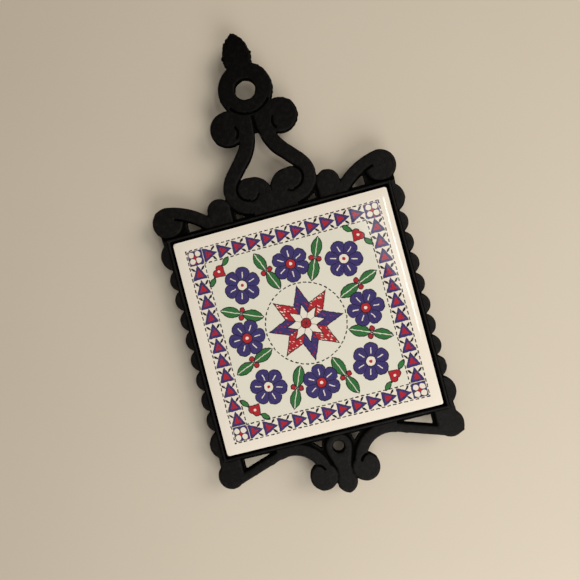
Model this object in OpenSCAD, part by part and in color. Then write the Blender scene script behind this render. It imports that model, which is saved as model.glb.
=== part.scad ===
// Square tile trivet with a scrolled hanging handle.
// A flat iron casting holds a glazed tile in a walled tray and stands on four
// rubber capped pegs. The casting is drawn as eight sections that meet face to face.
// Plan places are measured from the tile's centre, +Y towards the handle, and
// heights from the casting's flat back, until place() sets the part on its feet.

/* [Tile] */
// Side of the square tile
tile_side = 152; // [130:1:170]
// Thickness of the tile
tile_t = 5.2; // [4:0.1:8]
// Radius of the tile's upright corners
tile_corner_r = 1; // [0.5:0.1:4]
// Rounding of the edge round the glazed face
tile_edge_r = 1.6; // [0.5:0.1:2.4]
// Width of each key groove in the tile's back
back_groove_w = 5; // [3:0.5:8]
// Depth of each key groove in the tile's back
back_groove_d = 0.6; // [0.3:0.1:1]
// Width of the land between two key grooves
back_land_w = 4; // [3:0.5:8]

/* [Tray] */
// Gap between the tile and the wall round it
tile_gap = 1.9; // [1:0.1:2.5]
// Width of the wall round the tile
wall_w = 2.1; // [1.6:0.1:3]
// Height of the wall above the casting's back
wall_h = 6.6; // [5.5:0.1:7.4]
// Width of the ledge under the tile's edge, from the wall inwards
ledge_w = 11; // [9:0.5:16]
// Thickness of the ledge
ledge_t = 2; // [1.5:0.1:2.6]
// Corner radius of the opening inside the ledge
opening_corner_r = 9; // [4:0.5:16]

/* [Side scallops] */
// Number of small scallops down each side
scallop_count = 8; // [5:1:11]
// Length of the large scallop at each end of a side
end_scallop_len = 20; // [16:0.5:26]
// How far a small scallop stands out from the wall
scallop_out = 6; // [3:0.1:6.2]
// How far a large scallop stands out from the wall
end_scallop_out = 8; // [5:0.1:8]
// How far the notches between scallops stand out from the wall
scallop_notch_out = 1.1; // [0.3:0.1:1.5]
// How far the tray's corners stand out from the wall, between an ear and a large scallop
corner_out = 4; // [3:0.1:4.6]
// Radius of the tray's corner lobes
corner_r = 6; // [4:0.1:8]
// Thickness of the scallops
scallop_t = 4.4; // [3.5:0.1:5]
// Rounding of the scallops' front edges
scallop_edge_r = 2.2; // [1:0.1:2.8]

/* [Ornament] */
// Thickness of the ornament
orn_t = 4.6; // [4:0.1:5.4]
// Rounding of the ornament's front edges
orn_edge_r = 1.7; // [1:0.1:2.2]
// How far the sunk webs lie below the ornament's face
web_drop = 1.4; // [0.8:0.1:2]
// Width of the sunk web that is left round each small window
web_margin = 2.2; // [1.2:0.1:2.8]
// Width of the sunk web along the ears' arms
arm_margin = 0.6; // [0.4:0.1:1.2]
// Width of the engraved grooves
groove_w = 2; // [1.2:0.1:2.6]
// Depth of the engraved grooves
groove_d = 1.8; // [0.8:0.1:2.4]

/* [Hanging ring and bud] */
// Outer radius of the hanging ring
ring_r = 19.2; // [17:0.1:21]
// Radius of the hanging hole's straight wall
ring_hole_r = 7.2; // [5:0.1:8.5]
// Radius of the groove that sets the ring off from the scrolls
ring_groove_r = 17.3; // [16:0.1:18]
// Height of the ring's centre above the top of the scroll bars' bend
ring_rise = 26; // [23:0.1:28]
// Distance from the ring's centre to the widest place of the bud
bud_rise = 23.9; // [21:0.1:26]
// Half width of the bud
bud_half_w = 9.9; // [8:0.1:12]
// Distance from the bud's widest place to its tip
bud_len = 17; // [12:0.1:20]

/* [Handle scrolls] */
// Width of the scroll bars where they leave the lower scroll
bar_w = 9.6; // [8:0.1:10.5]
// Growth in width at each bend on the way up
bar_growth = 0.4; // [0.2:0.1:0.6]
// Radius of the lower scroll's outer edge
scroll_r = 17.5; // [16:0.1:19]
// Radius of the lower scroll's eye
eye_r = 8; // [7:0.1:8.5]
// Distance of the lower scroll's eye from the handle's centre line
eye_x = 15.5; // [13:0.1:17]
// Height of the lower scroll's eye above the tray
eye_rise = 20.2; // [17.5:0.1:21]
// Growth in radius where the scroll opens into the bar
scroll_growth = 3.9; // [1:0.1:6]
// Lean of the straight part of the bar, in degrees
bar_lean = 42; // [34:1:48]
// Length of the straight part of the bar
bar_straight = 14.4; // [8:0.5:20]
// Radius of the bar's upper bend
bar_bend_r = 30.8; // [24:0.5:36]
// Radius of the lobes that close the window from below
window_lobe_r = 13.3; // [12:0.1:14.5]
// Distance of a window lobe's centre from the handle's centre line
window_lobe_x = 12.7; // [11:0.1:13]
// Height of a window lobe's centre above the tray
window_lobe_rise = 14.7; // [12:0.1:15]
// Radius of the upper scroll's eye
upper_eye_r = 12.4; // [10:0.1:13.5]
// Distance of the upper eye from the top of the bar's bend, outwards
upper_eye_out = 12.6; // [10:0.1:14]
// Height of the upper eye above the top of the bar's bend
upper_eye_rise = 2.4; // [0:0.1:5]
// Radius of the bar's curl over the upper eye
curl_r = 8.1; // [6:0.1:9]
// Radius of the crescent engraved beside the bar on the upper eye
crescent_r = 6.4; // [5:0.1:8]
// Depth of the crescent's centre below the upper eye's centre
crescent_drop = 3.8; // [2:0.1:6]
// Radius of each small lobe at the foot of the handle
shoulder_r = 8.4; // [6:0.1:9.5]
// Distance of a small lobe from the handle's centre line
shoulder_x = 39.3; // [37:0.1:42]
// Height of a small lobe's centre above the tray
shoulder_rise = 11.1; // [8:0.1:12]

/* [Upper ears] */
// Radius of the upper ears
ear_r = 11.1; // [9:0.1:12.5]
// How far an upper ear's centre lies inside the wall's outer face
ear_inset = 3.3; // [3:0.1:7]
// Height of an upper ear's centre above the tray
ear_rise = 12.1; // [9:0.1:13]
// Width of the arm from an upper ear down to the tray
ear_arm_w = 8.9; // [7:0.1:10]
// Radius of that arm's centre line
ear_arm_r = 48.4; // [42:0.1:54]
// Direction from the ear's centre to the arm's centre of curvature, in degrees below level
ear_arm_turn = 80; // [74:1:84]

/* [Lower ears] */
// Radius of the lower ears
foot_ear_r = 9.4; // [8:0.1:11]
// How far a lower ear's centre lies inside the wall's outer face
foot_ear_inset = 2; // [2:0.1:5]
// Depth of a lower ear's centre below the tray
foot_ear_drop = 11.1; // [8:0.1:12]
// Width of the arm from a lower ear to the toe, at the toe
foot_arm_w = 8.7; // [8:0.1:10]
// Width of that arm where it runs straight to the ear
foot_arm_out_w = 6.5; // [6:0.1:7.4]
// Radius of the centre line of that arm's arch
arch_r = 22.9; // [20:0.1:25]
// Distance of the arch's centre from the centre line
arch_x = 34.8; // [32:0.1:37]
// Depth of the arch's centre below the tray
arch_drop = 26.1; // [23:0.1:26.6]

/* [Toe] */
// Radius of the toe's scroll eyes
toe_eye_r = 9.8; // [8:0.1:11.5]
// Distance of a toe eye from the centre line
toe_eye_x = 14.9; // [13:0.1:16]
// Depth of the toe eyes below the tray
toe_eye_drop = 26.6; // [23:0.1:28]
// Radius of the toe hole's straight wall
toe_hole_r = 3.8; // [2.5:0.1:5]
// Outer radius of the leaf round the toe hole
toe_ring_r = 9.4; // [8.3:0.1:10]
// Depth of the toe hole's centre below the tray
toe_hole_drop = 8.6; // [6.2:0.1:9.6]
// Width of the leaf's waist
waist_w = 10.6; // [9:0.1:12]
// Depth of the leaf's waist below the tray
waist_depth = 22.9; // [20:0.1:25]
// Width of the slanted bars that make the leaf's shoulders
leaf_bar_w = 6.1; // [5:0.1:7]
// Half width of the leaf's drop
drop_half_w = 7.1; // [6:0.1:8]
// Depth of the drop's widest place below the tray
drop_depth = 33.1; // [29:0.1:35]
// Distance from the drop's widest place to its tip
drop_len = 8.6; // [7:0.1:11]

/* [Feet] */
// Height of the casting's back above the table
foot_h = 11; // [10:0.5:16]
// Radius of the cast pegs
peg_r = 3.4; // [2.8:0.1:4]
// Thickness of rubber under a peg
cap_floor_t = 2.8; // [1.5:0.1:4]
// Height of a rubber cap
cap_h = 7.5; // [6.5:0.1:9]
// Wall of a rubber cap
cap_wall = 2.1; // [1.4:0.1:2.6]
// Rounding of a cap's edges
cap_edge_r = 0.9; // [0.4:0.1:1.1]
// Clearance between a peg and its cap
cap_clear = 0.1; // [0.05:0.05:0.2]
// Width of the flare where a peg leaves the casting
peg_flare = 1.6; // [0.8:0.1:2.4]

/* [Adhesive] */
// Thickness of the dabs of adhesive under the tile
dab_t = 0.5; // [0.3:0.1:0.8]
// Radius of a dab
dab_r = 4; // [2.5:0.1:4.3]

/* [Hidden] */
$fn = 72;
// Overrun of every cut
over = 1;

tile_half = tile_side / 2;
recess_half = tile_half + tile_gap;
rim_half = recess_half + wall_w;
opening_half = recess_half - ledge_w;
ledge_mid = (opening_half + tile_half) / 2;
tile_z = ledge_t + dab_t;
wall_mid = recess_half + wall_w / 2;
web_t = orn_t - web_drop;

// Handle: the bar opens out of the lower scroll, leans inwards and bends upright
eye_y = rim_half + eye_rise;
scroll_mid_r = scroll_r - bar_w / 2;
open_mid_r = scroll_mid_r + scroll_growth;
// Directions from the eye in which the scroll starts and opens, in degrees
scroll_start = -100;
scroll_open = 5;
open_centre = [eye_x, eye_y] - scroll_growth * [cos(scroll_open), sin(scroll_open)];
lean_across = [cos(bar_lean), sin(bar_lean)];
lean_along = [-sin(bar_lean), cos(bar_lean)];
bend_start = open_centre + open_mid_r * lean_across + bar_straight * lean_along;
bend_centre = bend_start + bar_bend_r * lean_across;
bar_top = [bend_centre[0] - bar_bend_r, bend_centre[1]];
// Lift from the top of the bend to the curl, and the curl's turn in degrees
curl_lift = 4;
curl_sweep = 75;
// Overlap between one stretch of a bar and the next
lap = 0.6;
bar_steps = [
    [scroll_mid_r, scroll_open - scroll_start],
    [open_mid_r, bar_lean - scroll_open],
    [bar_straight, 0],
    [bar_bend_r, -bar_lean],
    [curl_lift, 0],
    [curl_r, -curl_sweep]
];
upper_eye = bar_top + [upper_eye_out, upper_eye_rise];
crescent_centre = upper_eye - [0, crescent_drop];
ring_y = bar_top[1] + ring_rise;
bud_y = ring_y + bud_rise;
// Where the web between the bars starts, below the top of their bend
neck_web_drop = 4.8;
// Directions in which the engraved grooves start and end, in degrees
scroll_groove_from = -122;
scroll_groove_to = 62;
crescent_from = 140;
crescent_to = 228;
ring_groove_from = 216;
ring_groove_to = 324;

// Upper ears
ear_x = rim_half - ear_inset;
ear_y = rim_half + ear_rise;
ear_arm_out_r = ear_arm_r + ear_arm_w / 2;
ear_arm_centre = [ear_x, ear_y] + (ear_arm_out_r - ear_r) * [cos(ear_arm_turn), -sin(ear_arm_turn)];
// Directions in which the arm and its engraved groove start and end, in degrees
ear_arm_from = 98;
ear_arm_to = 158;
ear_groove_from = 106;
ear_groove_to = 116;
// Set-in of an ear's root from the ear's inner side
ear_root_clear = 0.4;
ear_root_in_x = ear_x - ear_r + ear_root_clear;
ear_root_out_x = rim_half + corner_out;
shoulder_out_x = shoulder_x + shoulder_r + lap;

// Lower ears: the arm leaves its arch on a tangent and runs on to the ear
foot_ear_x = rim_half - foot_ear_inset;
foot_ear_y = rim_half + foot_ear_drop;
arch_y = rim_half + arch_drop;
arm_end = [foot_ear_x, foot_ear_y + foot_ear_r - foot_arm_w / 2];
arm_span = arm_end - [arch_x, arch_y];
arm_reach = norm(arm_span);
arm_leave = atan2(-arm_span[1], arm_span[0]) + acos(arch_r / arm_reach);
arm_straight = sqrt(pow(arm_reach, 2) - pow(arch_r, 2));
// Small step in the arm's lower edge where it straightens, so that no faces touch on a tangent
arm_step = 0.3;
// How far the straight part's upper edge lies above the arch's centre line
arm_upper = foot_arm_out_w - foot_arm_w / 2 + arm_step;
// Direction from the arch's centre in which the arm starts, in degrees
arch_start = 178;
foot_ear_root_in_x = foot_ear_x - foot_ear_r;

// Toe, with depths counted downwards from the tile's centre
toe_eye_y = rim_half + toe_eye_drop;
toe_hole_y = rim_half + toe_hole_drop;
drop_y = rim_half + drop_depth;
toe_ring_mid = (toe_ring_r + toe_hole_r) / 2;
ring_mid = (ring_r + ring_hole_r) / 2;
waist_y = rim_half + waist_depth;
leaf_bar_from = [toe_ring_r - leaf_bar_w / 2, toe_hole_y + toe_hole_r / 2];
leaf_bar_to = [waist_w / 2 - leaf_bar_w / 2, waist_y];
toe_web_half_w = toe_eye_x - toe_eye_r / 4;
toe_web_y = toe_hole_y + toe_ring_r / 4;
// Radius of the groove between the arm and the toe's eye, and its ends in degrees
toe_groove_r = 6;
toe_groove_from = 95;
toe_groove_to = 165;
toe_groove_centre = [toe_eye_x + toe_eye_r - toe_groove_r, toe_eye_y - toe_groove_r / 2];

// Side scallops
// Length of the wall left plain at each corner
scallop_corner = 1.5;
side_half = rim_half - scallop_corner;
scallop_pitch = 2 * (side_half - end_scallop_len) / scallop_count;

// Feet
peg_at = opening_half + ledge_w / 2;
peg_len = foot_h - cap_floor_t;
cap_r = peg_r + cap_clear + cap_wall;

// Overall reach, and the shift that brings the outline's centre to the origin
bud_reach = bud_y + bud_len;
toe_reach = drop_y + drop_len;
plan_shift = (toe_reach - bud_reach) / 2;
far = bud_reach + toe_reach;

iron = [0.06, 0.06, 0.065];
glaze = [0.93, 0.91, 0.87];
rubber = [0.03, 0.03, 0.03];
adhesive = [0.85, 0.80, 0.66];

// Bounding circle's radius of a scallop with this chord and rise
function scallop_radius(chord, rise) = pow(chord, 2) / (8 * rise) + rise / 2;

// Radius of the two arcs that make a pointed pad
function pointed_radius(half_w, tip) = (pow(half_w, 2) + pow(tip, 2)) / (2 * half_w);

// Sets children on the table, centred on the whole outline
module place() {
    translate([0, plan_shift, foot_h]) children();
}

// Draws children and their mirror image across the centre line
module both_sides() {
    children();
    mirror([1, 0, 0]) children();
}

// Section across a bar: flat back, upright sides and rounded front edges
module bar_section(w, t = orn_t, e = orn_edge_r) {
    translate([-w / 2, 0]) square([w, t - e]);
    translate([-w / 2 + e, 0]) square([w - 2 * e, t]);
    for (side = [-1, 1]) translate([side * (w / 2 - e), t - e]) circle(r = e);
}

// Round pad with a rounded front edge
module pad(r, t = orn_t, e = orn_edge_r) {
    rotate_extrude() {
        square([r, t - e]);
        square([r - e, t]);
        translate([r - e, t - e]) circle(r = e);
    }
}

// Ring with a straight hole, rounded on its front edges
module eyelet(r, hole_r) {
    rotate_extrude() translate([(r + hole_r) / 2, 0]) bar_section(r - hole_r);
}

// Pad with a point at each end of its Y axis
module pointed_pad(half_w, tip) {
    r = pointed_radius(half_w, tip);
    intersection() {
        translate([r - half_w, 0, 0]) pad(r);
        translate([half_w - r, 0, 0]) pad(r);
    }
}

// Straight bar along +Y from the origin
module straight_bar(length, w) {
    translate([0, length, 0]) rotate([90, 0, 0]) linear_extrude(height = length) bar_section(w);
}

// Bar round the origin, anticlockwise from +X
module curved_bar(r, sweep, w) {
    rotate_extrude(angle = sweep) translate([r, 0]) bar_section(w);
}

// Run of bars that starts along +Y and lap into each other, each wider than the last by
// growth; a step is [radius, turn to the left in degrees] or [length, 0]
module bar_run(steps, w, growth, i = 0) {
    if (i < len(steps)) {
        size = steps[i][0];
        turn = steps[i][1];
        back = i == 0 ? 0 : lap;
        side = turn < 0 ? -1 : 1;
        if (turn == 0) {
            translate([0, -back, 0]) straight_bar(size + back, w);
            translate([0, size, 0]) bar_run(steps, w + growth, growth, i + 1);
        } else translate([-side * size, 0, 0]) {
            back_turn = back / size * 180 / PI;
            mirror([1 - side, 0, 0]) rotate([0, 0, -back_turn])
                curved_bar(size, abs(turn) + back_turn, w);
            rotate([0, 0, turn]) translate([side * size, 0, 0])
                bar_run(steps, w + growth, growth, i + 1);
        }
    }
}

// Straight bar between two places
module bar_between(a, b, w) {
    d = b - a;
    translate([a[0], a[1], 0]) rotate([0, 0, atan2(d[1], d[0]) - 90]) straight_bar(norm(d), w);
}

// Engraved groove with a V section, along an arc round the origin
module arc_groove(r, from, to) {
    top = orn_t + over;
    half = groove_w / 2 * (groove_d + over) / groove_d;
    rotate([0, 0, from]) rotate_extrude(angle = to - from)
        polygon([[r - half, top], [r, orn_t - groove_d], [r + half, top]]);
}

// Everything on the tray's side of its upper or lower edge, to cut ornament away
module tray_side() {
    translate([-far, -rim_half, -far]) cube([2 * far, 2 * rim_half, 2 * far]);
}

// Everything further out than x on the right
module right_of(x) {
    translate([x, -far, -far]) cube([far, 2 * far, 2 * far]);
}

// Sunk web between two places on X, from the tray up to a place on Y, with a window whose
// sides keep a margin from the web's sides and from the children
module window_web(from, to, top) {
    difference() {
        translate([from, rim_half, 0]) cube([to - from, top - rim_half, web_t]);
        difference() {
            translate([from + web_margin, rim_half + web_margin, -over])
                cube([to - from - 2 * web_margin, far, orn_t + 2 * over]);
            children();
        }
    }
}

// Right half's arm from the upper ear down to the tray
module ear_arm() {
    translate([ear_arm_centre[0], ear_arm_centre[1], 0]) rotate([0, 0, ear_arm_from])
        curved_bar(ear_arm_r, ear_arm_to - ear_arm_from, ear_arm_w);
}

// Everything beyond the upper arm's lower edge and its margin
module outside_arm() {
    difference() {
        translate([0, 0, -far]) cube([far, far, 2 * far]);
        translate([ear_arm_centre[0], ear_arm_centre[1], -far])
            cylinder(r = ear_arm_r - ear_arm_w / 2 - arm_margin, h = 3 * far);
    }
}

// Right half's arch and arm from the toe to the lower ear
module foot_arm() {
    translate([arch_x, -arch_y, 0]) {
        rotate([0, 0, arch_start - 180]) translate([-arch_r, 0, 0])
            bar_run([[arch_r, arm_leave - arch_start]], foot_arm_w, 0);
        rotate([0, 0, arm_leave])
            translate([arch_r + arm_upper - foot_arm_out_w / 2, -arm_straight, 0])
            straight_bar(arm_straight + lap, foot_arm_out_w);
    }
}

// Everything on the arch's side of the lower arm's centre line, moved towards the tray
module beyond_foot_arm(out) {
    translate([arch_x, -arch_y, -far]) rotate([0, 0, arm_leave]) translate([-far, -far, 0])
        cube([far + arch_r + out, 2 * far, 2 * far]);
}

// One side's row of scallops on the right, cut back to the wall
module scallop_row() {
    small_rise = scallop_out - scallop_notch_out;
    large_rise = end_scallop_out - scallop_notch_out;
    small_r = scallop_radius(scallop_pitch, small_rise);
    large_r = scallop_radius(end_scallop_len, large_rise);
    intersection() {
        union() {
            for (i = [0:scallop_count - 1])
                translate([rim_half + scallop_out - small_r, (i + 1 / 2) * scallop_pitch
                    - side_half + end_scallop_len, 0]) pad(small_r, scallop_t, scallop_edge_r);
            for (end = [-1, 1])
                translate([rim_half + end_scallop_out - large_r,
                    end * (side_half - end_scallop_len / 2), 0])
                    pad(large_r, scallop_t, scallop_edge_r);
            for (end = [-1, 1])
                translate([rim_half + corner_out - corner_r, end * (rim_half - scallop_notch_out), 0])
                    pad(corner_r, scallop_t, scallop_edge_r);
        }
        translate([wall_mid, -rim_half, -over]) cube([far, 2 * rim_half, far]);
    }
}

// Wall on the right, with a rounded crest
module wall() {
    translate([wall_mid, -rim_half, 0]) {
        translate([-wall_w / 2, 0, 0]) cube([wall_w, 2 * rim_half, wall_h - wall_w / 2]);
        translate([0, 0, wall_h - wall_w / 2]) rotate([-90, 0, 0])
            cylinder(r = wall_w / 2, h = 2 * rim_half);
    }
}

// Ledge round the open middle
module ledge() {
    linear_extrude(height = ledge_t) difference() {
        square(2 * rim_half, center = true);
        rounded_square(opening_half, opening_corner_r);
    }
}

module rounded_square(half, r) {
    square([2 * half, 2 * (half - r)], center = true);
    square([2 * (half - r), 2 * half], center = true);
    for (x = [-1, 1], y = [-1, 1]) translate([x * (half - r), y * (half - r)]) circle(r = r);
}

// Peg under the ledge, flared where it leaves the casting
module peg() {
    translate([0, 0, -peg_len]) cylinder(r = peg_r, h = peg_len + ledge_t / 2);
    translate([0, 0, -peg_flare]) cylinder(r1 = peg_r, r2 = peg_r + peg_flare, h = peg_flare);
}

module cast_tray() {
    color(iron) place() {
        ledge();
        for (turn = [0, 90, 180, 270]) rotate([0, 0, turn]) wall();
        both_sides() scallop_row();
        for (x = [-1, 1], y = [-1, 1]) translate([x * peg_at, y * peg_at, 0]) peg();
    }
}

// Right half of the handle's scrolls
module scroll_half() {
    difference() {
        union() {
            translate([eye_x, eye_y, 0]) rotate([0, 0, scroll_start]) translate([scroll_mid_r, 0, 0])
                bar_run(bar_steps, bar_w, bar_growth);
            translate([eye_x, eye_y, 0]) pad(eye_r);
            translate([window_lobe_x, rim_half + window_lobe_rise, 0]) pad(window_lobe_r);
            translate([upper_eye[0], upper_eye[1], 0]) pad(upper_eye_r);
            translate([shoulder_x, rim_half + shoulder_rise, 0]) pad(shoulder_r);
            translate([shoulder_x, rim_half, 0]) straight_bar(shoulder_rise, 2 * shoulder_r);
            window_web(eye_x, shoulder_x - shoulder_r, rim_half + shoulder_rise)
                translate([eye_x, eye_y, -far]) cylinder(r = scroll_r + web_margin / 2, h = 2 * far);
            difference() {
                ear_arm();
                right_of(shoulder_out_x);
            }
        }
        translate([eye_x, eye_y, 0]) arc_groove(eye_r, scroll_groove_from, scroll_groove_to);
        translate([crescent_centre[0], crescent_centre[1], 0])
            arc_groove(crescent_r, crescent_from, crescent_to);
    }
}

module handle_scrolls() {
    color(iron) place() difference() {
        union() {
            both_sides() scroll_half();
            translate([-eye_x, rim_half, 0]) cube([2 * eye_x, window_lobe_rise, orn_t]);
            translate([-bar_w / 2, bar_top[1] - neck_web_drop, 0])
                cube([bar_w, ring_rise - ring_r / 2, web_t]);
        }
        tray_side();
        translate([0, ring_y, -over]) cylinder(r = ring_r, h = orn_t + 2 * over);
    }
}

// Ring whose foot is filled out flush with the scrolls, outside a groove
module ring_body() {
    difference() {
        union() {
            eyelet(ring_r, ring_hole_r);
            rotate([0, 0, ring_groove_from]) rotate_extrude(angle = ring_groove_to - ring_groove_from)
                translate([ring_groove_r, 0]) square([ring_r - ring_groove_r, orn_t]);
        }
        arc_groove(ring_groove_r, ring_groove_from, ring_groove_to);
    }
}

module hanging_ring() {
    color(iron) place() {
        translate([0, ring_y, 0]) ring_body();
        difference() {
            translate([0, bud_y, 0]) pointed_pad(bud_half_w, bud_len);
            translate([0, ring_y, -over]) cylinder(r = ring_mid, h = orn_t + 2 * over);
        }
    }
}

// Upper ear on the right
module upper_ear() {
    difference() {
        union() {
            intersection() {
                ear_arm();
                right_of(shoulder_out_x);
            }
            translate([ear_x, ear_y, 0]) pad(ear_r);
            translate([ear_root_in_x, rim_half, 0])
                cube([ear_root_out_x - ear_root_in_x, ear_rise, web_t]);
            intersection() {
                window_web(shoulder_out_x, ear_root_in_x, ear_y) outside_arm();
                translate([ear_arm_centre[0], ear_arm_centre[1], 0])
                    cylinder(r = ear_arm_r, h = orn_t);
            }
        }
        tray_side();
        translate([ear_arm_centre[0], ear_arm_centre[1], 0])
            arc_groove(ear_arm_r - ear_arm_w / 2, ear_groove_from, ear_groove_to);
    }
}

// Lower ear on the right, with the arm as far as the crown of its arch
module lower_ear() {
    difference() {
        union() {
            intersection() {
                foot_arm();
                right_of(arch_x);
            }
            translate([foot_ear_x, -foot_ear_y, 0]) pad(foot_ear_r);
            translate([(foot_ear_root_in_x + ear_root_out_x) / 2, -foot_ear_y, 0])
                straight_bar(foot_ear_drop, ear_root_out_x - foot_ear_root_in_x);
            difference() {
                mirror([0, 1, 0]) window_web(arch_x, foot_ear_root_in_x + lap, foot_ear_y)
                    mirror([0, 1, 0]) beyond_foot_arm(arm_upper + arm_margin);
                beyond_foot_arm(0);
            }
        }
        tray_side();
    }
}

// Right half of the toe: half the leaf, a scroll eye and the arm up to the arch's crown
module toe_half() {
    difference() {
        union() {
            difference() {
                foot_arm();
                right_of(arch_x);
            }
            translate([toe_eye_x, -toe_eye_y, 0]) pad(toe_eye_r);
            bar_between([leaf_bar_from[0], -leaf_bar_from[1]], [leaf_bar_to[0], -leaf_bar_to[1]],
                leaf_bar_w);
            mirror([0, 1, 0]) difference() {
                window_web(-lap, arch_x, toe_web_y + lap) {
                    translate([0, toe_hole_y, -far])
                        cylinder(r = toe_ring_r + web_margin, h = 2 * far);
                    translate([arch_x, arch_y, -far])
                        cylinder(r = arch_r + foot_arm_w / 2 + web_margin, h = 2 * far);
                }
                translate([arch_x, arch_y, -over]) cylinder(r = arch_r, h = orn_t + 2 * over);
            }
        }
        translate([toe_groove_centre[0], -toe_groove_centre[1], 0])
            arc_groove(toe_groove_r, toe_groove_from, toe_groove_to);
    }
}

module toe_crest() {
    color(iron) place() difference() {
        union() {
            difference() {
                union() {
                    both_sides() toe_half();
                    translate([-toe_web_half_w, -toe_eye_y, 0])
                        cube([2 * toe_web_half_w, toe_eye_y - toe_web_y, web_t]);
                }
                translate([0, -toe_hole_y, -over]) cylinder(r = toe_ring_mid, h = orn_t + 2 * over);
            }
            translate([0, -toe_hole_y, 0]) eyelet(toe_ring_r, toe_hole_r);
            translate([0, -drop_y, 0])
                straight_bar(drop_y - toe_hole_y - toe_ring_mid, waist_w);
            translate([0, -drop_y, 0]) pointed_pad(drop_half_w, drop_len);
        }
        tray_side();
    }
}

// Profile across the tile: square back edges and a rounded front edge
module tile_profile() {
    e = tile_edge_r;
    translate([-tile_half, 0]) square([tile_side, tile_t - e]);
    translate([-tile_half + e, 0]) square([tile_side - 2 * e, tile_t]);
    for (side = [-1, 1]) translate([side * (tile_half - e), tile_t - e]) circle(r = e);
}

module ceramic_tile() {
    pitch = back_groove_w + back_land_w;
    count = floor((opening_half - back_groove_w / 2) / pitch);
    color(glaze) place() translate([0, 0, tile_z]) difference() {
        intersection() {
            for (turn = [0, 90]) rotate([0, 0, turn]) translate([0, tile_half, 0])
                rotate([90, 0, 0]) linear_extrude(height = tile_side) tile_profile();
            linear_extrude(height = tile_t) rounded_square(tile_half, tile_corner_r);
        }
        for (i = [-count:count])
            translate([i * pitch - back_groove_w / 2, -opening_half, -over])
                cube([back_groove_w, 2 * opening_half, over + back_groove_d]);
    }
}

// Dab of adhesive on the ledge, in the direction of a turn from +X
module adhesive_dab(turn) {
    color(adhesive) place() rotate([0, 0, turn]) translate([ledge_mid, 0, ledge_t])
        cylinder(r = dab_r, h = dab_t);
}

// Rubber cap pushed onto the peg in the corner with these signs
module foot_cap(x, y) {
    e = cap_edge_r;
    color(rubber) translate([x * peg_at, y * peg_at + plan_shift, 0]) difference() {
        rotate_extrude() {
            translate([0, e]) square([cap_r, cap_h - 2 * e]);
            square([cap_r - e, cap_h]);
            for (z = [e, cap_h - e]) translate([cap_r - e, z]) circle(r = e);
        }
        translate([0, 0, cap_floor_t]) cylinder(r = peg_r + cap_clear, h = cap_h);
    }
}

cast_tray();
handle_scrolls();
hanging_ring();
color(iron) place() mirror([1, 0, 0]) upper_ear();  // upper_ear_left
color(iron) place() upper_ear();  // upper_ear_right
color(iron) place() mirror([1, 0, 0]) lower_ear();  // lower_ear_left
color(iron) place() lower_ear();  // lower_ear_right
toe_crest();
ceramic_tile();
adhesive_dab(90);  // adhesive_dab_upper
adhesive_dab(270);  // adhesive_dab_lower
adhesive_dab(180);  // adhesive_dab_left
adhesive_dab(0);  // adhesive_dab_right
foot_cap(-1, 1);  // foot_cap_upper_left
foot_cap(1, 1);  // foot_cap_upper_right
foot_cap(-1, -1);  // foot_cap_lower_left
foot_cap(1, -1);  // foot_cap_lower_right
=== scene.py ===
import math

import bmesh
import bpy
from mathutils import Matrix, Vector, noise
from mathutils.kdtree import KDTree


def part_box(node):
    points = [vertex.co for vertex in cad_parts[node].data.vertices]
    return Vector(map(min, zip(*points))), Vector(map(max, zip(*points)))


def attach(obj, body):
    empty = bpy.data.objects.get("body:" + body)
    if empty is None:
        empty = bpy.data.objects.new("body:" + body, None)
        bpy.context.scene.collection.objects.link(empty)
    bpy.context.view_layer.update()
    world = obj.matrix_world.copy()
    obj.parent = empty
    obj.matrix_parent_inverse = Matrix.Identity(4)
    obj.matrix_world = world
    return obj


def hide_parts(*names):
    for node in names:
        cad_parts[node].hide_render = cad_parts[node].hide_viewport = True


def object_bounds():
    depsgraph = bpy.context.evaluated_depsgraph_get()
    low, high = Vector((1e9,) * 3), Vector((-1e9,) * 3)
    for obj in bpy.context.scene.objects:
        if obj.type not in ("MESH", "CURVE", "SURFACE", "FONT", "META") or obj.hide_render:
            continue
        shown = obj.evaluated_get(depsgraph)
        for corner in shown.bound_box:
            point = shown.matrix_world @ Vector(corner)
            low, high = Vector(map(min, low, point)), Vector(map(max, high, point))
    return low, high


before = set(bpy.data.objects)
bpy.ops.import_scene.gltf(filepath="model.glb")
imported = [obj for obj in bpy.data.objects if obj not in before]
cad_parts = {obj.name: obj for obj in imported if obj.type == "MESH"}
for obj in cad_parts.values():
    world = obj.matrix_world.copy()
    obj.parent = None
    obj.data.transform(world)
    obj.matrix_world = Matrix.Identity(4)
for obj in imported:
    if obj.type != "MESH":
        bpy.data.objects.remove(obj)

cad_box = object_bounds()
mm = 0.001

# Nodes of the one iron casting, and of the pieces that go with it
casting_nodes = [
    "cast_tray", "handle_scrolls", "hanging_ring", "upper_ear_left", "upper_ear_right",
    "lower_ear_left", "lower_ear_right", "toe_crest",
]
dab_nodes = ["adhesive_dab_upper", "adhesive_dab_lower", "adhesive_dab_left", "adhesive_dab_right"]
cap_nodes = [
    "foot_cap_upper_left", "foot_cap_upper_right", "foot_cap_lower_left", "foot_cap_lower_right",
]

tile_low, tile_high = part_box("ceramic_tile")
tile_centre = (tile_low + tile_high) / 2
tile_half = (tile_high.x - tile_low.x) / 2

# Printed border, in millimetres: its inner and outer lines from the tile's middle, and how many
# cells it has along a side
border_in = 57.5
border_out = 68.5
border_cells = 11

# Inner ends of the two lower scroll grooves, in millimetres and degrees: centre from the tile's
# middle, radius and angles, then the groove's half width and its depth
hooks = [((14.6, 97.0), 5.6, -132, -74), ((-14.6, 97.0), 5.6, -106, -14)]
hook_half_w = 0.9
hook_deep = 1.2

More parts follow.
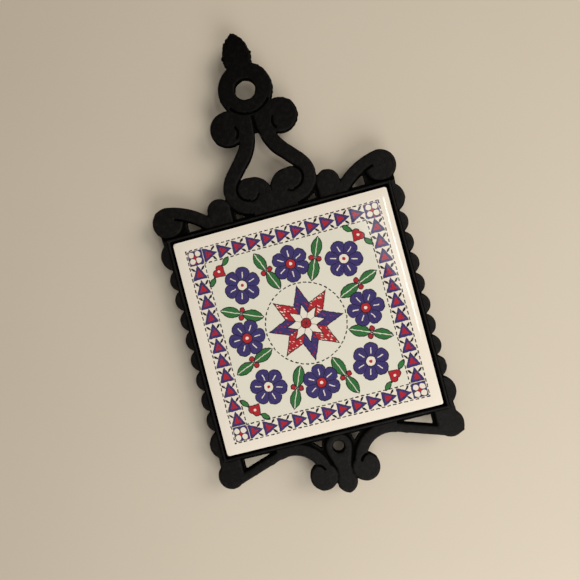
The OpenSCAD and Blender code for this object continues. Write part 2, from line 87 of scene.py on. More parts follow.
# The glazed face falls to its edge: distances in from the edge in millimetres, and the slope at
# each. It goes on past the edge, because the corners are rounded.
cushion = [(-6, 0.08), (2.6, 0.08), (4.2, 0.028), (13, 0)]
cushion_corner_r = 7.5
# Distances in from the edge at which the face is cut, so that it can bend there
cushion_cuts = (0.9, 1.8, 2.6, 3.0, 3.4, 3.8, 4.2, 4.8, 5.5, 6.2, 7.0, 8.5, 10.5, 13, 24)

# Heights of the casting's flat back and of the sunk webs' upper face, and the height above that
# over which the painted shade on a web fades
casting_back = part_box("hanging_ring")[0].z
web_top = casting_back + 3.2 * mm
web_blend = 0.5 * mm

# The casting's skin: size of its voxels, passes that ease it to find edges and hollows, how far
# a full edge stands out of the eased skin, and its number of triangles
voxel = 0.5 * mm
easing_passes = 14
full_edge = 0.3 * mm
skin_triangles = 190000
# Side walls and sunk webs get painted shade too, as hollows do, by this much
wall_shade = 1.8
web_shade = 0.6

# The bud beyond the ring came ragged from the mould, and the upper handle's right side less so:
# where each starts, and the length over which it grows
bud_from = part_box("hanging_ring")[1].y - 20 * mm
bud_growth = 6 * mm
right_from = bud_from - 60 * mm
right_growth = 8 * mm
right_side = 6 * mm
right_side_growth = 4 * mm
right_share = 0.45

# Flaws left on the outline by the mould, in millimetres: place from the tile's middle and above
# the table, reach and height
nibs = [
    (Vector(place) * mm + Vector((0, tile_centre.y, 0)), reach * mm, height)
    for place, reach, height in (
        ((85.2, -97.2, 13.4), 4.2, 1.5),
        ((22.4, 137.0, 12.5), 2.2, 0.7),
        ((-1.5, 205.5, 12.5), 3.0, 0.6),
    )
]

# Points closer than this are one: in a copy of a node, in a turned form and on a cutting plane
node_weld = 0.002 * mm
turned_weld = 0.001 * mm
plane_snap = 0.00001 * mm


class Field:
    """A number that varies over a surface, written as an expression."""

    def __init__(self, finish, socket):
        self.finish = finish
        self.socket = socket

    def __add__(self, other):
        return self.finish.math("ADD", self, other)

    def __radd__(self, other):
        return self.finish.math("ADD", other, self)

    def __sub__(self, other):
        return self.finish.math("SUBTRACT", self, other)

    def __rsub__(self, other):
        return self.finish.math("SUBTRACT", other, self)

    def __mul__(self, other):
        return self.finish.math("MULTIPLY", self, other)

    def __rmul__(self, other):
        return self.finish.math("MULTIPLY", other, self)

    def __truediv__(self, other):
        return self.finish.math("DIVIDE", self, other)

    def __rtruediv__(self, other):
        return self.finish.math("DIVIDE", other, self)

    def __abs__(self):
        return self.finish.math("ABSOLUTE", self)

    def __pow__(self, other):
        return self.finish.math("POWER", self, other)

    def __mod__(self, other):
        return self.finish.math("FLOORED_MODULO", self, other)

    def __lt__(self, other):
        return self.finish.math("LESS_THAN", self, other)

    def __gt__(self, other):
        return self.finish.math("GREATER_THAN", self, other)


class Finish:
    """A material built from nodes."""

    def __init__(self, name):
        self.material = bpy.data.materials.new(name)
        self.material.use_nodes = True
        self.tree = self.material.node_tree
        self.tree.nodes.clear()
        self.point = self.node("ShaderNodeTexCoord").outputs["Object"]

    def node(self, kind, settings=None, inputs=None):
        """Adds a node of a kind, sets its settings, then feeds its inputs."""
        made = self.tree.nodes.new(kind)
        for key, value in (settings or {}).items():
            setattr(made, key, value)
        for key, value in (inputs or {}).items():
            self.feed(made.inputs[key], value)
        return made

    def feed(self, socket, value):
        """Links a field or a socket, or sets a plain value."""
        if isinstance(value, Field):
            value = value.socket
        if isinstance(value, bpy.types.NodeSocket):
            self.tree.links.new(value, socket)
        elif isinstance(value, (tuple, list)) and socket.type == "RGBA":
            socket.default_value = (*value[:3], 1.0)
        else:
            socket.default_value = value

    def math(self, operation, *values, clamp=False):
        made = self.node("ShaderNodeMath", {"operation": operation, "use_clamp": clamp},
                         dict(enumerate(values)))
        return Field(self, made.outputs[0])

    def vector(self, operation, inputs):
        """Arithmetic on places."""
        return self.node("ShaderNodeVectorMath", {"operation": operation}, inputs).outputs[0]

    def clamp(self, value):
        return self.math("ADD", value, 0.0, clamp=True)

    def reach(self, a, b):
        """Distance of a place from the origin."""
        return (a * a + b * b) ** 0.5

    def within(self, distance, soft=0.22):
        """1 inside an outline, where the distance is below zero, and 0 outside."""
        return self.clamp(0.5 - distance / soft)

    def low(self, *values):
        """The lowest of some fields."""
        found = values[0]
        for value in values[1:]:
            found = self.math("MINIMUM", found, value)
        return found

    def high(self, *values):
        """The highest of some fields."""
        found = values[0]
        for value in values[1:]:
            found = self.math("MAXIMUM", found, value)
        return found

    def mix(self, amount, under, over):
        """Colour over where amount is 1, colour under where it is 0."""
        made = self.node("ShaderNodeMix", {"data_type": "RGBA", "clamp_factor": True},
                         {0: amount, 6: under, 7: over})
        return made.outputs[2]

    def noise(self, scale, detail=2.0, roughness=0.5, point=None):
        """Soft noise from 0 to 1, its scale counted in the units of the point."""
        made = self.node("ShaderNodeTexNoise", {"noise_dimensions": "3D"},
                         {"Vector": point or self.point, "Scale": scale, "Detail": detail,
                          "Roughness": roughness})
        return Field(self, made.outputs["Fac"])

    def cells(self, scale, point=None, randomness=1.0):
        """Distance from the nearest of many scattered spots."""
        made = self.node("ShaderNodeTexVoronoi", {"feature": "F1"},
                         {"Vector": point or self.point, "Scale": scale,
                          "Randomness": randomness})
        return Field(self, made.outputs["Distance"])

    def moved(self, point, location=(0, 0, 0), turn=0.0, scale=(1, 1, 1)):
        made = self.node("ShaderNodeMapping", {"vector_type": "POINT"}, {
            "Vector": point, "Location": location, "Rotation": (0, 0, turn), "Scale": scale})
        return made.outputs[0]

    def bump(self, height, deep, strength, normal=None):
        """Relief of a depth in millimetres, on top of an earlier relief's normal."""
        inputs = {"Height": height, "Distance": deep * mm, "Strength": strength}
        if normal is not None:
            inputs["Normal"] = normal
        return self.node("ShaderNodeBump", inputs=inputs).outputs["Normal"]

    def axes(self, point):
        made = self.node("ShaderNodeSeparateXYZ", inputs={"Vector": point})
        return [Field(self, made.outputs[i]) for i in range(3)]

    def principled(self, **inputs):
        names = {key.replace("_", " "): value for key, value in inputs.items()}
        return self.node("ShaderNodeBsdfPrincipled", inputs=names)

    def ended(self, shader):
        """The material, with a shader as its surface."""
        self.node("ShaderNodeOutputMaterial", inputs={"Surface": shader.outputs[0]})
        return self.material


def srgb(red, green, blue):
    """A colour given as 0 to 255 on screen, as linear light."""
    def linear(value):
        share = value / 255
        return share / 12.92 if share <= 0.04045 else ((share + 0.055) / 1.055) ** 2.4
    return (linear(red), linear(green), linear(blue))


def black_paint():
    """Satin black paint over sand cast iron, thin and brown on the proudest edges, where it also
    carries a painted highlight, with painted shade in its hollows, side walls and sunk webs and
    towards the far end of the handle.
    """
    f = Finish("black_iron_paint")
    broad = f.noise(45, 3)
    blotch = f.noise(330, 4, 0.6)
    sand = f.noise(900, 4, 0.65)
    # Positive on proud edges and negative in hollows
    form = Field(f, f.node("ShaderNodeAttribute", {"attribute_name": "edge"}).outputs["Fac"])
    chips = f.clamp((form * f.noise(380, 4, 0.7) - 0.5) * 8)
    # Proud edges are lighter and glossier: partly rubbed wear, partly a painted highlight
    wear_and_highlight = f.clamp(form * 0.8 - 0.14)
    # Painted shade: flat black is mixed in where the skin is hollow, on side walls, on sunk webs
    # and in the scroll hooks
    hollow_shade = f.clamp(form * -1.5 - 0.08)
    dust = f.clamp((f.noise(2600, 2, 0.7) - 0.62) * 7)
    colour = f.mix(broad, srgb(5, 4, 3), srgb(12, 10, 7.5))
    colour = f.mix(f.clamp((blotch - 0.48) * 6) * 0.6, colour, srgb(28, 25, 20))
    colour = f.mix(dust * 0.5, colour, srgb(64, 57, 48))
    colour = f.mix(wear_and_highlight * 0.5, colour, srgb(50, 45, 39))
    colour = f.mix(chips * 0.6, colour, srgb(70, 44, 28))
    swell = f.bump(f.noise(150, 2), 0.25, 0.5)
    grained = f.bump(sand, 0.3, 0.9, swell)
    pitted = f.bump(f.clamp(f.cells(430) * 2.4), 0.2, 0.6, grained)
    paint = f.principled(
        Base_Color=colour, Roughness=0.36 + broad * 0.1 + blotch * 0.16 + sand * 0.1,
        Specular_IOR_Level=0.12, Coat_Weight=wear_and_highlight * 0.35, Coat_Roughness=0.34, Normal=pitted)
    # Flat black shader, mixed over the paint as painted shade
    shade_black = f.node("ShaderNodeBsdfDiffuse", inputs={"Color": srgb(2, 2, 1.5)})
    # Painted shade, growing towards the far end of the handle
    far_shade_from, far_shade_rise, far_shade_most = 30 * mm, 7, 0.72
    far_shade = f.clamp((f.axes(f.point)[1] - far_shade_from) * far_shade_rise) * far_shade_most
    return f.ended(f.node("ShaderNodeMixShader", inputs={
        0: f.high(hollow_shade * 0.9, far_shade), 1: paint.outputs[0], 2: shade_black.outputs[0]}))


# The printed star has eight points, and its sectors are an eighth of a turn each
eighth = math.pi / 4
half_cos, half_sin = math.cos(eighth / 2), math.sin(eighth / 2)


class Place:
    """Places on the tile's face that the printed motifs use, in millimetres."""

    def __init__(self, f, point):
        self.x, self.y, _ = f.axes(point)
        self.r = f.reach(self.x, self.y)
        self.angle = f.math("ARCTAN2", self.y, self.x)
        # Eight sectors, each about its own axis
        step = f.math("FLOOR", self.angle / eighth + 0.5)
        off = self.angle - step * eighth
        self.odd = abs(step) % 2
        self.along = self.r * f.math("COSINE", off)
        self.across = self.r * f.math("SINE", off)
        # The line between two sectors
        side = abs(self.across)
        self.seam_along = self.along * half_cos + side * half_sin
        self.seam_off = self.along * half_sin - side * half_cos
        # The border: distance out from the middle, and the place along the side
        wide, tall = abs(self.x), abs(self.y)
        self.out = f.high(wide, tall)
        self.low = f.low(wide, tall)
        upright = wide > tall
        self.side = self.x + (self.y - self.x) * upright
        # Folded into one corner: along its diagonal and off it
        self.diagonal = (wide + tall) / math.sqrt(2)
        self.off_diagonal = abs(wide - tall) / math.sqrt(2)


ivory = srgb(236, 226, 208)
violet = srgb(60, 50, 106)
dark_violet = srgb(32, 26, 62)
red = srgb(176, 34, 42)
green = srgb(52, 116, 58)
dark_green = srgb(30, 78, 40)
ink = srgb(24, 21, 27)
# Half widths of a drawn line and of a row of stitches
line = 0.3
stitch = 0.4


def flecks(f, point, turn):
    """Scattered short strokes, like the figure of calico cloth."""
    long, wide, soft = 1.9, 0.8, 0.1
    spots, scatter, spot_r = 0.62, 0.85, 0.3
    turned = f.moved(point, turn=math.radians(turn))
    stretched = f.moved(turned, scale=(1 / long, 1 / wide, 0))
    return f.within(f.cells(spots, stretched, scatter) - spot_r, soft)


def leaf(f, along, across, half_long, half_wide):
    """Distance outside a leaf that is pointed at both ends."""
    bend = (half_long * half_long + half_wide * half_wide) / (2 * half_wide)
    return f.reach(along, abs(across) + (bend - half_wide)) - bend


def outlined(f, colour, distance, fill, half_w=line):
    """A colour with a shape on it that has its own fill and an ink outline."""
    filled = f.mix(f.within(distance), colour, fill)
    return f.mix(f.within(abs(distance) - half_w), filled, ink)


def star(f, colour, at, strokes):
    """Eight pointed patchwork star in the middle, with a ring of stitches round it."""
    tip, inner_tip, middle_r, calico_inset = 26.0, 13.4, 3.4, 0.8
    ring_r, ring_stitches, stitch_share = 28.0, 48, 0.62
    side = abs(at.across) * half_cos
    edge = (at.along - tip) * half_sin + side
    inner = (at.along - inner_tip) * half_sin + side
    patch = f.mix(at.odd, violet, red)
    calico = f.mix(at.odd, red, ivory)
    patch = f.mix(strokes * f.within(calico_inset - inner), patch, calico)
    patch = f.mix(f.within(inner), patch, ivory)
    patch = f.mix(f.within(at.r - middle_r), patch, red)
    lines = f.high(f.within(at.seam_off - line / 2), f.within(abs(inner) - line),
                   f.within(abs(at.r - middle_r) - line))
    patch = f.mix(lines, patch, ink)
    colour = outlined(f, colour, edge, patch)
    dash = (at.angle * (ring_stitches / math.tau)) % 1.0 < stitch_share
    return f.mix(dash * f.within(abs(at.r - ring_r) - stitch), colour, ink)


def sprays(f, colour, at):
    """Stems with two leaves and berries between the blossoms."""
    stem_half_w, stem_from, stem_to = 0.45, 29.5, 60.0
    # Each leaf: its middle along the stem, half its length and half its width
    leaves = ((37.0, 7.6, 3.9), (52.5, 7.0, 3.6))
    vein_lean, vein_pitch, vein_share, vein_soft, midrib_half_w = 1.5, 2.1, 0.24, 0.1, 0.26
    berry_along, berry_off, berry_r = 44.8, 2.7, 1.7
    stem = f.high(at.seam_off - stem_half_w, stem_from - at.seam_along, at.seam_along - stem_to)
    colour = f.mix(f.within(stem), colour, dark_green)
    for middle, half_long, half_wide in leaves:
        blade = leaf(f, at.seam_along - middle, at.seam_off, half_long, half_wide)
        veins = ((at.seam_along - at.seam_off * vein_lean) / vein_pitch) % 1.0
        tone = f.mix(f.within(veins - vein_share, vein_soft), green, dark_green)
        tone = f.mix(f.within(at.seam_off - midrib_half_w), tone, ivory)
        colour = outlined(f, colour, blade, tone)
    berry = f.reach(at.seam_along - berry_along, at.seam_off - berry_off) - berry_r
    return outlined(f, colour, berry, red)


def blossoms(f, colour, at, strokes):
    """Six petalled blossoms, nearer the middle on the axes than on the diagonals."""
    centre_r, diagonal_further = 42.0, 9.0
    waist_r, petal_further, eye_r, dot_r = 9.2, 3.6, 3.5, 1.1
    vein_half_w, vein_from, vein_to = 0.32, 5.2, 9.4
    cleft_half_w, cleft_from = 0.22, 3.4
    half_petals = 3
    out = at.along - (centre_r + at.odd * diagonal_further)
    r = f.reach(out, at.across)
    angle = f.math("ARCTAN2", at.across, out) * half_petals
    lobe = abs(f.math("COSINE", angle)) ** 0.5
    edge = r - (waist_r + lobe * petal_further)
    off_middle = abs(f.math("SINE", angle)) * r * (1 / half_petals)
    vein = f.high(off_middle - vein_half_w, vein_from - r, r - vein_to)
    off_cleft = abs(f.math("COSINE", angle)) * r * (1 / half_petals)
    cleft = f.high(off_cleft - cleft_half_w, cleft_from - r)
    petal = f.mix(strokes * 0.55, violet, dark_violet)
    petal = f.mix(f.within(cleft), petal, ink)
    petal = f.mix(f.within(vein), petal, ivory)
    petal = outlined(f, petal, r - eye_r, f.mix(at.odd, red, ivory))
    petal = f.mix(f.within(r - dot_r), petal, f.mix(at.odd, ivory, red))
    return outlined(f, colour, edge, petal)


def hearts(f, colour, at):
    """A red heart between two leaves in each corner."""
    # Where the heart lies along the tile's diagonal, and the rest from there
    heart_along = 69.0
    lobe_up, lobe_off, lobe_r = 1.4, 1.9, 2.5
    point_down, point_slope, shoulder_up = 4.6, 0.86, 1.6
    leaf_off, leaf_up, leaf_half_long, leaf_half_wide = 8.6, 0.6, 3.6, 1.7
    dot_up, dot_r = 0.8, 0.9
    up = at.diagonal - heart_along
    off = at.off_diagonal
    lobe = f.reach(up - lobe_up, off - lobe_off) - lobe_r
    point = f.high(off - (up + point_down) * point_slope, up - shoulder_up)
    blade = leaf(f, off - leaf_off, up - leaf_up, leaf_half_long, leaf_half_wide)
    colour = outlined(f, colour, blade, green)
    colour = outlined(f, colour, f.low(lobe, point), red)
    return f.mix(f.within(f.reach(up - dot_up, off) - dot_r), colour, ivory)


def geese_border(f, colour, at, strokes, crossed):
    """Border of patchwork triangles that point round the tile, between rows of stitches."""
    base_gap_share, core_inset = 0.05, 1.7
    sprig_share, sprig_off, sprig_half_long, sprig_half_wide = 0.76, 3.5, 2.1, 0.75
    petal_off, petal_r, dot_r = 2.3, 2.1, 1.2
    line_gap, stitch_pitch, stitch_share = 0.7, 3.9, 0.64
    pitch = 2 * border_in / border_cells
    depth = border_out - border_in
    middle = (border_in + border_out) / 2
    cell = (at.side + border_in) / pitch
    count = f.math("FLOOR", cell)
    along = cell - count
    across = abs(at.out - middle)
    triangle = f.high(across - (1.0 - along) * (depth / 2), (base_gap_share - along) * pitch)
    core = f.within(triangle + core_inset)
    tone = f.mix(strokes * 0.6, violet, dark_violet)
    tone = f.mix(core, tone, red)
    tone = f.mix(core * crossed, tone, violet)
    # Two sprig leaves beside each triangle's point, at 45 degrees
    ahead = (along - sprig_share) * pitch
    blade = leaf(f, (ahead + across - sprig_off) / math.sqrt(2),
                 (ahead - across + sprig_off) / math.sqrt(2), sprig_half_long, sprig_half_wide)
    ground = f.mix(f.within(blade), ivory, ink)
    patches = outlined(f, ground, triangle, tone, line / 2)
    # Corner squares, each with four petals
    petal = f.reach(abs(at.low - middle) - petal_off, across - petal_off) - petal_r
    square = f.mix(strokes * 0.9, violet, red)
    square = outlined(f, square, petal, ivory, line / 2)
    dot = f.reach(at.low - middle, at.out - middle) - dot_r
    square = f.mix(f.within(dot), square, red)
    patches = f.mix(f.within(border_in - at.low), patches, square)
    inside = f.high(border_in + line_gap - at.out, at.out - border_out + line_gap)
    colour = f.mix(f.within(inside), colour, patches)
    dash = (at.side / stitch_pitch) % 1.0 < stitch_share
    rows = f.low(abs(at.out - border_in), abs(at.out - border_out))
    return f.mix(dash * f.within(rows - stitch), colour, ink)


def printed_glaze():
    """Ivory glaze with a printed patchwork, over a bare buff body."""
    # Turns of the two layers of flecks, and how far the print wanders
    fleck_turn, crossed_turn, wander = 38, -52, 1.1
    # Lowest height above the tile's back that the glaze runs down to, and the uneven rise over it
    glaze_end, glaze_end_rise, glaze_end_soft = 3.0, 1.2, 0.25
    f = Finish("printed_glaze")
    centred = f.moved(f.point, (-tile_centre.x / mm, -tile_centre.y / mm, -tile_low.z / mm),
                      scale=(1 / mm, 1 / mm, 1 / mm))
    height = f.axes(centred)[2]
    # Hand printed edges wander a little
    cloud = f.node("ShaderNodeTexNoise", {"noise_dimensions": "3D"},
                   {"Vector": centred, "Scale": 0.5, "Detail": 2.0}).outputs["Color"]
    shift = f.vector("SUBTRACT", {0: cloud, 1: (0.5, 0.5, 0.5)})
    drift = f.vector("SCALE", {0: shift, "Scale": wander})
    drawn = f.vector("ADD", {0: centred, 1: drift})
    at = Place(f, drawn)
    strokes = flecks(f, drawn, fleck_turn)
    crossed = flecks(f, drawn, crossed_turn)
    mottle = f.noise(0.06, 3, point=centred)
    field = f.mix(mottle, srgb(231, 226, 208), srgb(226, 221, 202))
    margin = f.mix(mottle, srgb(243, 232, 215), srgb(238, 227, 209))
    colour = f.mix(f.within(at.out - border_in), margin, field)
    colour = sprays(f, colour, at)
    colour = hearts(f, colour, at)
    colour = blossoms(f, colour, at, strokes)
    colour = star(f, colour, at, strokes)
    colour = geese_border(f, colour, at, strokes, crossed)
    screen = f.clamp((f.noise(2.6, 2, 0.7, centred) - 0.6) * 5)
    colour = f.mix(screen * 0.14, colour, ivory)
    # The glaze runs down over the edge to an uneven line
    end = glaze_end + f.noise(0.25, 3, point=centred) * glaze_end_rise
    glazed = f.within(end - height, glaze_end_soft)
    grit = f.noise(3.5, 4, 0.7, centred)
    smudge = f.noise(0.09, 4, 0.6, centred)
    biscuit = f.mix(grit, srgb(206, 184, 152), srgb(222, 203, 174))
    biscuit = f.mix(f.clamp((smudge - 0.55) * 4) * 0.5, biscuit, srgb(168, 142, 108))
    swell = f.bump(f.noise(0.07, 2, point=centred), 0.3, 0.35)
    rough = f.bump(grit * (1 - glazed), 0.12, 0.7, swell)
    return f.ended(f.principled(
        Base_Color=f.mix(glazed, biscuit, colour), Roughness=0.86 - glazed * 0.79,
        Specular_IOR_Level=0.5, Normal=rough))


def cap_rubber():
    """Moulded black rubber with a dusty bloom."""
    f = Finish("moulded_rubber")
    bloom = f.noise(160, 4, 0.6)
    specks = f.clamp((f.noise(2400, 2, 0.7) - 0.6) * 8)
    colour = f.mix(bloom, srgb(22, 21, 20), srgb(38, 37, 35))
    colour = f.mix(specks * 0.3, colour, srgb(108, 102, 94))
    return f.ended(f.principled(
        Base_Color=colour, Roughness=0.72 + bloom * 0.15, Specular_IOR_Level=0.35,
        Normal=f.bump(f.noise(1500, 3, 0.6), 0.1, 0.5)))


def set_adhesive():
    """Aged cream adhesive, clouded in its tone and its gloss."""
    f = Finish("set_adhesive")
    cloud = f.noise(420, 4, 0.6)
    colour = f.mix(cloud, srgb(206, 188, 148), srgb(230, 219, 190))
    return f.ended(f.principled(
        Base_Color=colour, Roughness=0.38 + cloud * 0.2, Normal=f.bump(cloud, 0.1, 0.6)))


def floor_finish():
    """Pale warm floor, faintly clouded."""
    f = Finish("pale_floor")
    colour = f.mix(f.noise(7, 3), srgb(206, 193, 172), srgb(211, 199, 179))
    return f.ended(f.principled(Base_Color=colour, Roughness=0.75))


def show(name, mesh, finish, body="root"):
    """Puts a finished mesh in the scene as a piece of the object."""
    piece = bpy.data.objects.new(name, mesh)
    bpy.context.scene.collection.objects.link(piece)
    mesh.materials.clear()
    mesh.materials.append(finish)
    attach(piece, body)
    return piece


def mesh_of(form, name):
    """Ends a form as a mesh."""
    mesh = bpy.data.meshes.new(name)
    form.to_mesh(mesh)
    form.free()
    return mesh


def smoothed(mesh, crisp=None):
    """The mesh with smooth shading, except at edges that bend by more than an angle."""
    mesh.polygons.foreach_set("use_smooth", [True] * len(mesh.polygons))
    if crisp is not None:
        mesh.set_sharp_from_angle(angle=math.radians(crisp))
    return mesh


def modified(mesh, kind, **settings):
    """The mesh that one modifier makes of a mesh."""
    carrier = bpy.data.objects.new("carrier", mesh)
    bpy.context.scene.collection.objects.link(carrier)
    modifier = carrier.modifiers.new(kind.lower(), kind)
    for key, value in settings.items():
        setattr(modifier, key, value)
    made = bpy.data.meshes.new_from_object(
        carrier.evaluated_get(bpy.context.evaluated_depsgraph_get()))
    bpy.data.objects.remove(carrier)
    return made


def merged_copy(names):
    """One mesh of copies of CAD nodes, each with its loose triangles merged."""
    joined = bmesh.new()
    for name in names:
        single = bmesh.new()
        single.from_mesh(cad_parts[name].data)
        bmesh.ops.remove_doubles(single, verts=single.verts, dist=node_weld)
        part = mesh_of(single, name + "_copy")
        joined.from_mesh(part)
        bpy.data.meshes.remove(part)
    return mesh_of(joined, "joined_copy")


def hook_groove(place):
    """Share of a scroll groove's full depth that its inner hook has at a place."""
    deepest = 0
    for (x, y), radius, start, end in hooks:
        across = place.x / mm - x
        up = (place.y - tile_centre.y) / mm - y
        off = abs(math.hypot(across, up) - radius)
        if off < hook_half_w and start < math.degrees(math.atan2(up, across)) < end:
            deepest = 1 - off / hook_half_w
    return deepest


def ramp(value, start, length):
    """Rises from 0 at a start to 1 over a length."""
    return min(1.0, max(0.0, (value - start) / length))


def ripple(place, scale, height):
    """Smooth noise at a place, up to a height either way."""
    return noise.noise(place * scale) * height


def raggedness(place):
    """How ragged the casting's walls are: most at the bud, then right of the ring."""
    bud = ramp(place.y, bud_from - bud_growth, bud_growth)
    right = ramp(place.y, right_from, right_growth) * ramp(place.x, right_side, right_side_growth)
    return max(bud, right * right_share)


def wall_burr(place):
    """How far the casting's side wall stands out at a place, in millimetres."""
    scab = max(0, noise.noise(place * 240) - 0.3) * 0.9
    burr = ripple(place, 330, 0.08) + scab
    burr += raggedness(place) * (ripple(place, 290, 1.4) + ripple(place, 610, 1.3))
    for nib, reach, height in nibs:
        near = max(0.0, 1 - (place - nib).length / reach)
        burr += near * near * height
    return burr


def casting_skin():
    """The casting as one skin over its eight sections, with soft cast corners and burrs."""
    cast = modified(merged_copy(casting_nodes), "REMESH", mode="VOXEL", voxel_size=voxel,
                    use_smooth_shade=True)
    eased = modified(cast.copy(), "SMOOTH", factor=0.5, iterations=easing_passes)
    mesh = modified(cast, "SMOOTH", factor=0.5, iterations=1)
    low, high = cad_box
    normals = [v.normal.copy() for v in mesh.vertices]
    places = KDTree(len(normals))
    form = []
    for i, (vertex, soft, normal) in enumerate(zip(mesh.vertices, eased.vertices, normals)):
        place = vertex.co.copy()
        side = (1 - abs(normal.z)) if place.z > casting_back else 0
        hooked = hook_groove(place) if normal.z > 0.9 else 0
        sunk = ramp(-place.z, -web_top - web_blend, web_blend) if normal.z > 0.3 else 0
        proud = (place - soft.co).dot(normal) / full_edge
        # Edge value for the paint: side walls, sunk webs and scroll hooks count as hollows, which
        # get painted shade
        form.append(proud - side * wall_shade - hooked - sunk * web_shade)
        wave = ripple(place, 130, 0.06) + ripple(place, 420, 0.03)
        moved = place + normal * ((wave + wall_burr(place) * side - hooked * hook_deep) * mm)
        vertex.co = Vector([min(max(moved[k], low[k]), high[k]) for k in range(3)])
        places.insert(vertex.co, i)
    places.balance()
    mesh = modified(mesh, "DECIMATE", decimate_type="COLLAPSE",
                    ratio=min(1.0, skin_triangles / (2 * len(mesh.polygons))))
    edge = mesh.attributes.new("edge", "FLOAT", "POINT")
    edge.data.foreach_set("value", [form[places.find(v.co)[1]] for v in mesh.vertices])
    return mesh


def cushion_fall(inset):
    """How far the glazed face has fallen at a distance in from its edge, in millimetres."""
    fall = 0.0
    for (near, steep), (far, gentle) in zip(cushion, cushion[1:]):
        start = min(max(inset, near), far)
        here = gentle + (steep - gentle) * (far - start) / (far - near)
        fall += (here + gentle) / 2 * (far - start)
    return fall


def pressed_tile():
    """The tile with a cushion edge, where the glazed face falls to the rim."""
    flat_angle, crisp_angle = 0.4, 35
    mesh = merged_copy(["ceramic_tile"])
    form = bmesh.new()
    form.from_mesh(mesh)
    bmesh.ops.dissolve_limit(form, angle_limit=math.radians(flat_angle), verts=form.verts,
                             edges=form.edges)
    for axis in (0, 1):
        for sign in (-1, 1):
            for inset in cushion_cuts:
                place = tile_centre.copy()
                place[axis] += sign * (tile_half - inset * mm)
                across = Vector((0, 0, 0))
                across[axis] = 1
                bmesh.ops.bisect_plane(form, geom=form.verts[:] + form.edges[:] + form.faces[:],
                                       dist=plane_snap, plane_co=place, plane_no=across)
    # The fall starts halfway up the tile and is whole at its face
    waist = tile_low.z + (tile_high.z - tile_low.z) * 0.5
    for vertex in form.verts:
        if vertex.co.z > waist:
            lift = (vertex.co.z - waist) / (tile_high.z - waist)
            insets = [(tile_half - abs(vertex.co[k] - tile_centre[k])) / mm for k in (0, 1)]
            round_in = [max(0.0, cushion_corner_r - inset) for inset in insets]
            inset = min(min(insets), cushion_corner_r - math.hypot(*round_in))
            vertex.co.z -= cushion_fall(inset) * mm * lift
    bmesh.ops.triangulate(form, faces=[face for face in form.faces if len(face.verts) > 4])
    form.to_mesh(mesh)
    form.free()
    return smoothed(mesh, crisp_angle)


def round_node(node):
    """A round node's lowest and highest point, its upright axis and its radius."""
    low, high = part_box(node)
    axis = Vector(((low.x + high.x) / 2, (low.y + high.y) / 2, 0))
    return low.z, high.z, axis, (high.x - low.x) / 2


def turned_form(outline, axis, steps=64):
    """Closed form made by turning an outline of (radius, height) round an upright axis."""
    form = bmesh.new()
    verts = [form.verts.new((axis.x + r, axis.y, z)) for r, z in outline]
    edges = [form.edges.new(pair) for pair in zip(verts, verts[1:])]
    bmesh.ops.spin(form, geom=verts + edges, cent=axis, axis=(0, 0, 1), angle=math.tau,
                   steps=steps, use_merge=True)
    bmesh.ops.remove_doubles(form, verts=form.verts, dist=turned_weld)
    bmesh.ops.recalc_face_normals(form, faces=form.faces)
    return form


def arc(centre_r, centre_z, radius, start, end, steps=5):
    """Points of an arc in an outline, with its angles in degrees."""
    angles = [math.radians(start + (end - start) * i / steps) for i in range(steps + 1)]
    return [(centre_r + radius * math.cos(a), centre_z + radius * math.sin(a)) for a in angles]


def rubber_cap(node):
    """Cap with a dished foot, two grip rings and an open bore for its peg."""
    bore_r, bore_chamfer, floor_t, edge_r = 3.5 * mm, 0.3 * mm, 2.8 * mm, 0.9 * mm
    bead_r, bead_heights = 0.28 * mm, (3.0 * mm, 4.7 * mm)
    # The foot's dish, in millimetres: radius and height from its middle to where it stands
    dish = ((0, 0.45), (1.8, 0.42), (2.5, 0.12), (2.9, 0))
    crisp_angle = 50
    foot, top, axis, r = round_node(node)
    outline = [(radius * mm, foot + height * mm) for radius, height in dish]
    outline += arc(r - edge_r, foot + edge_r, edge_r, -90, 0)
    for height in bead_heights:
        outline += arc(r, foot + height, bead_r, 270, 90, steps=4)
    outline += arc(r - edge_r, top - edge_r, edge_r, 0, 90)
    outline += [(bore_r + bore_chamfer, top), (bore_r, top - bore_chamfer)]
    outline += [(bore_r, foot + floor_t), (0, foot + floor_t)]
    return smoothed(mesh_of(turned_form(outline, axis), node + "_mesh"), crisp_angle)


def squashed_dab(node):
    """A dab that spread unevenly when the tile was pressed down on it."""
    # Shares of the radius: the flat middle, the spread before it runs, and the part that stays
    flat_share, spread_share, still_share = 0.5, 0.94, 0.3
    # How much the edge runs out by the noise, less a constant, and the most that it may
    run_share, held_share, most_share = 0.16, 0.03, 0.06
    steps = 40
    low, high, axis, r = round_node(node)
    belly = (high - low) / 2
    outline = [(0, low), (r * flat_share, low)]
    outline += arc(r * spread_share - belly, low + belly, belly, -90, 90, steps=6)
    outline += [(r * flat_share, high), (0, high)]
    form = turned_form(outline, axis, steps)
    for vertex in form.verts:
        arm = vertex.co - axis
        arm.z = 0
        if arm.length > r * still_share:
            run = ripple(Vector((vertex.co.x, vertex.co.y, 0)), 310, run_share)
            vertex.co += arm * min(most_share, run - held_share)
    return smoothed(mesh_of(form, node + "_mesh"))


def make_object():
    """Makes each piece and hides the nodes it stands for."""
    skin = show("iron_casting", casting_skin(), black_paint())
    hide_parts(*casting_nodes)
    tile = show("printed_tile", pressed_tile(), printed_glaze())
    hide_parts("ceramic_tile")
    rubber = cap_rubber()
    for node in cap_nodes:
        cap = show(node.replace("foot_cap", "rubber_foot"), rubber_cap(node), rubber)
        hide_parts(node)
    glue = set_adhesive()
    for node in dab_nodes:
        dab = show(node.replace("adhesive_dab", "glue_dab"), squashed_dab(node), glue)
        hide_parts(node)


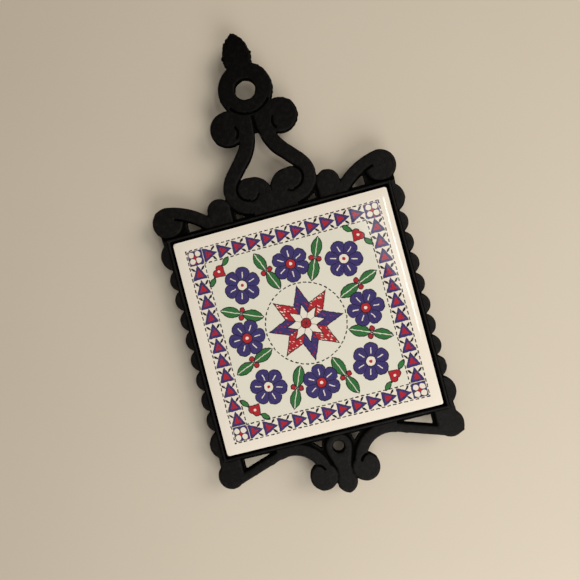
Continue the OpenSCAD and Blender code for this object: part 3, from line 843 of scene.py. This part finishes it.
def make_floor():
    """Plain floor, much wider than the camera sees."""
    floor_half = 4
    grid = bmesh.new()
    bmesh.ops.create_grid(grid, x_segments=1, y_segments=1, size=floor_half)
    mesh = mesh_of(grid, "floor")
    floor = bpy.data.objects.new("floor", mesh)
    bpy.context.scene.collection.objects.link(floor)
    mesh.materials.append(floor_finish())


def make_camera():
    """Camera over the tile, as high and as turned as the photograph's."""
    focal_px, image_px, sensor = 432.35, 580, 36
    swing, nod, roll = [math.radians(turn) for turn in (-14.718, -0.23, 3.038)]
    place = Vector((10.6 * mm, tile_centre.y + 21.84 * mm, 314.83 * mm))
    data = bpy.data.cameras.new("camera")
    data.sensor_width = sensor
    data.lens = focal_px / image_px * sensor
    data.clip_start = 10 * mm
    camera = bpy.data.objects.new("camera", data)
    bpy.context.scene.collection.objects.link(camera)
    turn = (Matrix.Rotation(swing, 3, "Z") @ Matrix.Rotation(nod, 3, "X")
            @ Matrix.Rotation(roll, 3, "Y"))
    camera.matrix_world = Matrix.Translation(place) @ turn.to_4x4()
    bpy.context.scene.camera = camera
    return turn


def make_lamp(name, place, size, watts, tint=(1, 1, 1)):
    """Rectangular lamp that faces the middle of the tile, with its place and size in metres."""
    data = bpy.data.lights.new(name, "AREA")
    data.shape = "RECTANGLE"
    data.size, data.size_y = size
    data.energy = watts
    data.color = tint
    lamp = bpy.data.objects.new(name, data)
    bpy.context.scene.collection.objects.link(lamp)
    aim = Vector((0, tile_centre.y, 0))
    lamp.location = place
    lamp.rotation_mode = "QUATERNION"
    lamp.rotation_quaternion = (place - aim).to_track_quat("Z", "Y")


def make_light(turn):
    """Broad key from the image's upper right, a fill from its lower right, and a pale sky.

    Two weak lamps show in the glaze: as a bright strip near its right edge, and a veil beside it.
    """
    right, up = turn.col[0], turn.col[1]
    # Each broad lamp: its direction as shares of right and up, reach, height, side, watts and tint
    broad_lamps = (
        ("key", (0.9, 0.43), 1.55, 1.3, 1.1, 17.5, (1, 0.965, 0.91)),
        ("fill", (0.5, -0.87), 0.8, 0.62, 0.6, 5.6, (0.985, 0.985, 1)),
    )
    for name, (rightward, upward), reach, height, side, watts, tint in broad_lamps:
        level = (right * rightward + up * upward).normalized()
        make_lamp(name, level * reach + Vector((0, 0, height)), (side, side), watts, tint)
    # Each glaze lamp: its place from the tile's middle and above the table, its size and watts
    glaze_lamps = (
        ("strip", (0.388, 0.03, 1.0), (0.44, 0.055), 0.85),
        ("veil", (0.275, 0.09, 1.0), (0.32, 0.11), 0.24),
    )
    for name, (x, y, z), size, watts in glaze_lamps:
        make_lamp(name, Vector((x, tile_centre.y + y, z)), size, watts)
    sky, sky_strength = srgb(252, 249, 244), 0.27
    world = bpy.data.worlds.new("world")
    world.use_nodes = True
    background = world.node_tree.nodes["Background"]
    background.inputs["Color"].default_value = (*sky, 1)
    background.inputs["Strength"].default_value = sky_strength
    bpy.context.scene.world = world


bpy.context.scene.view_settings.view_transform = "Standard"
make_object()
make_floor()
make_light(make_camera())
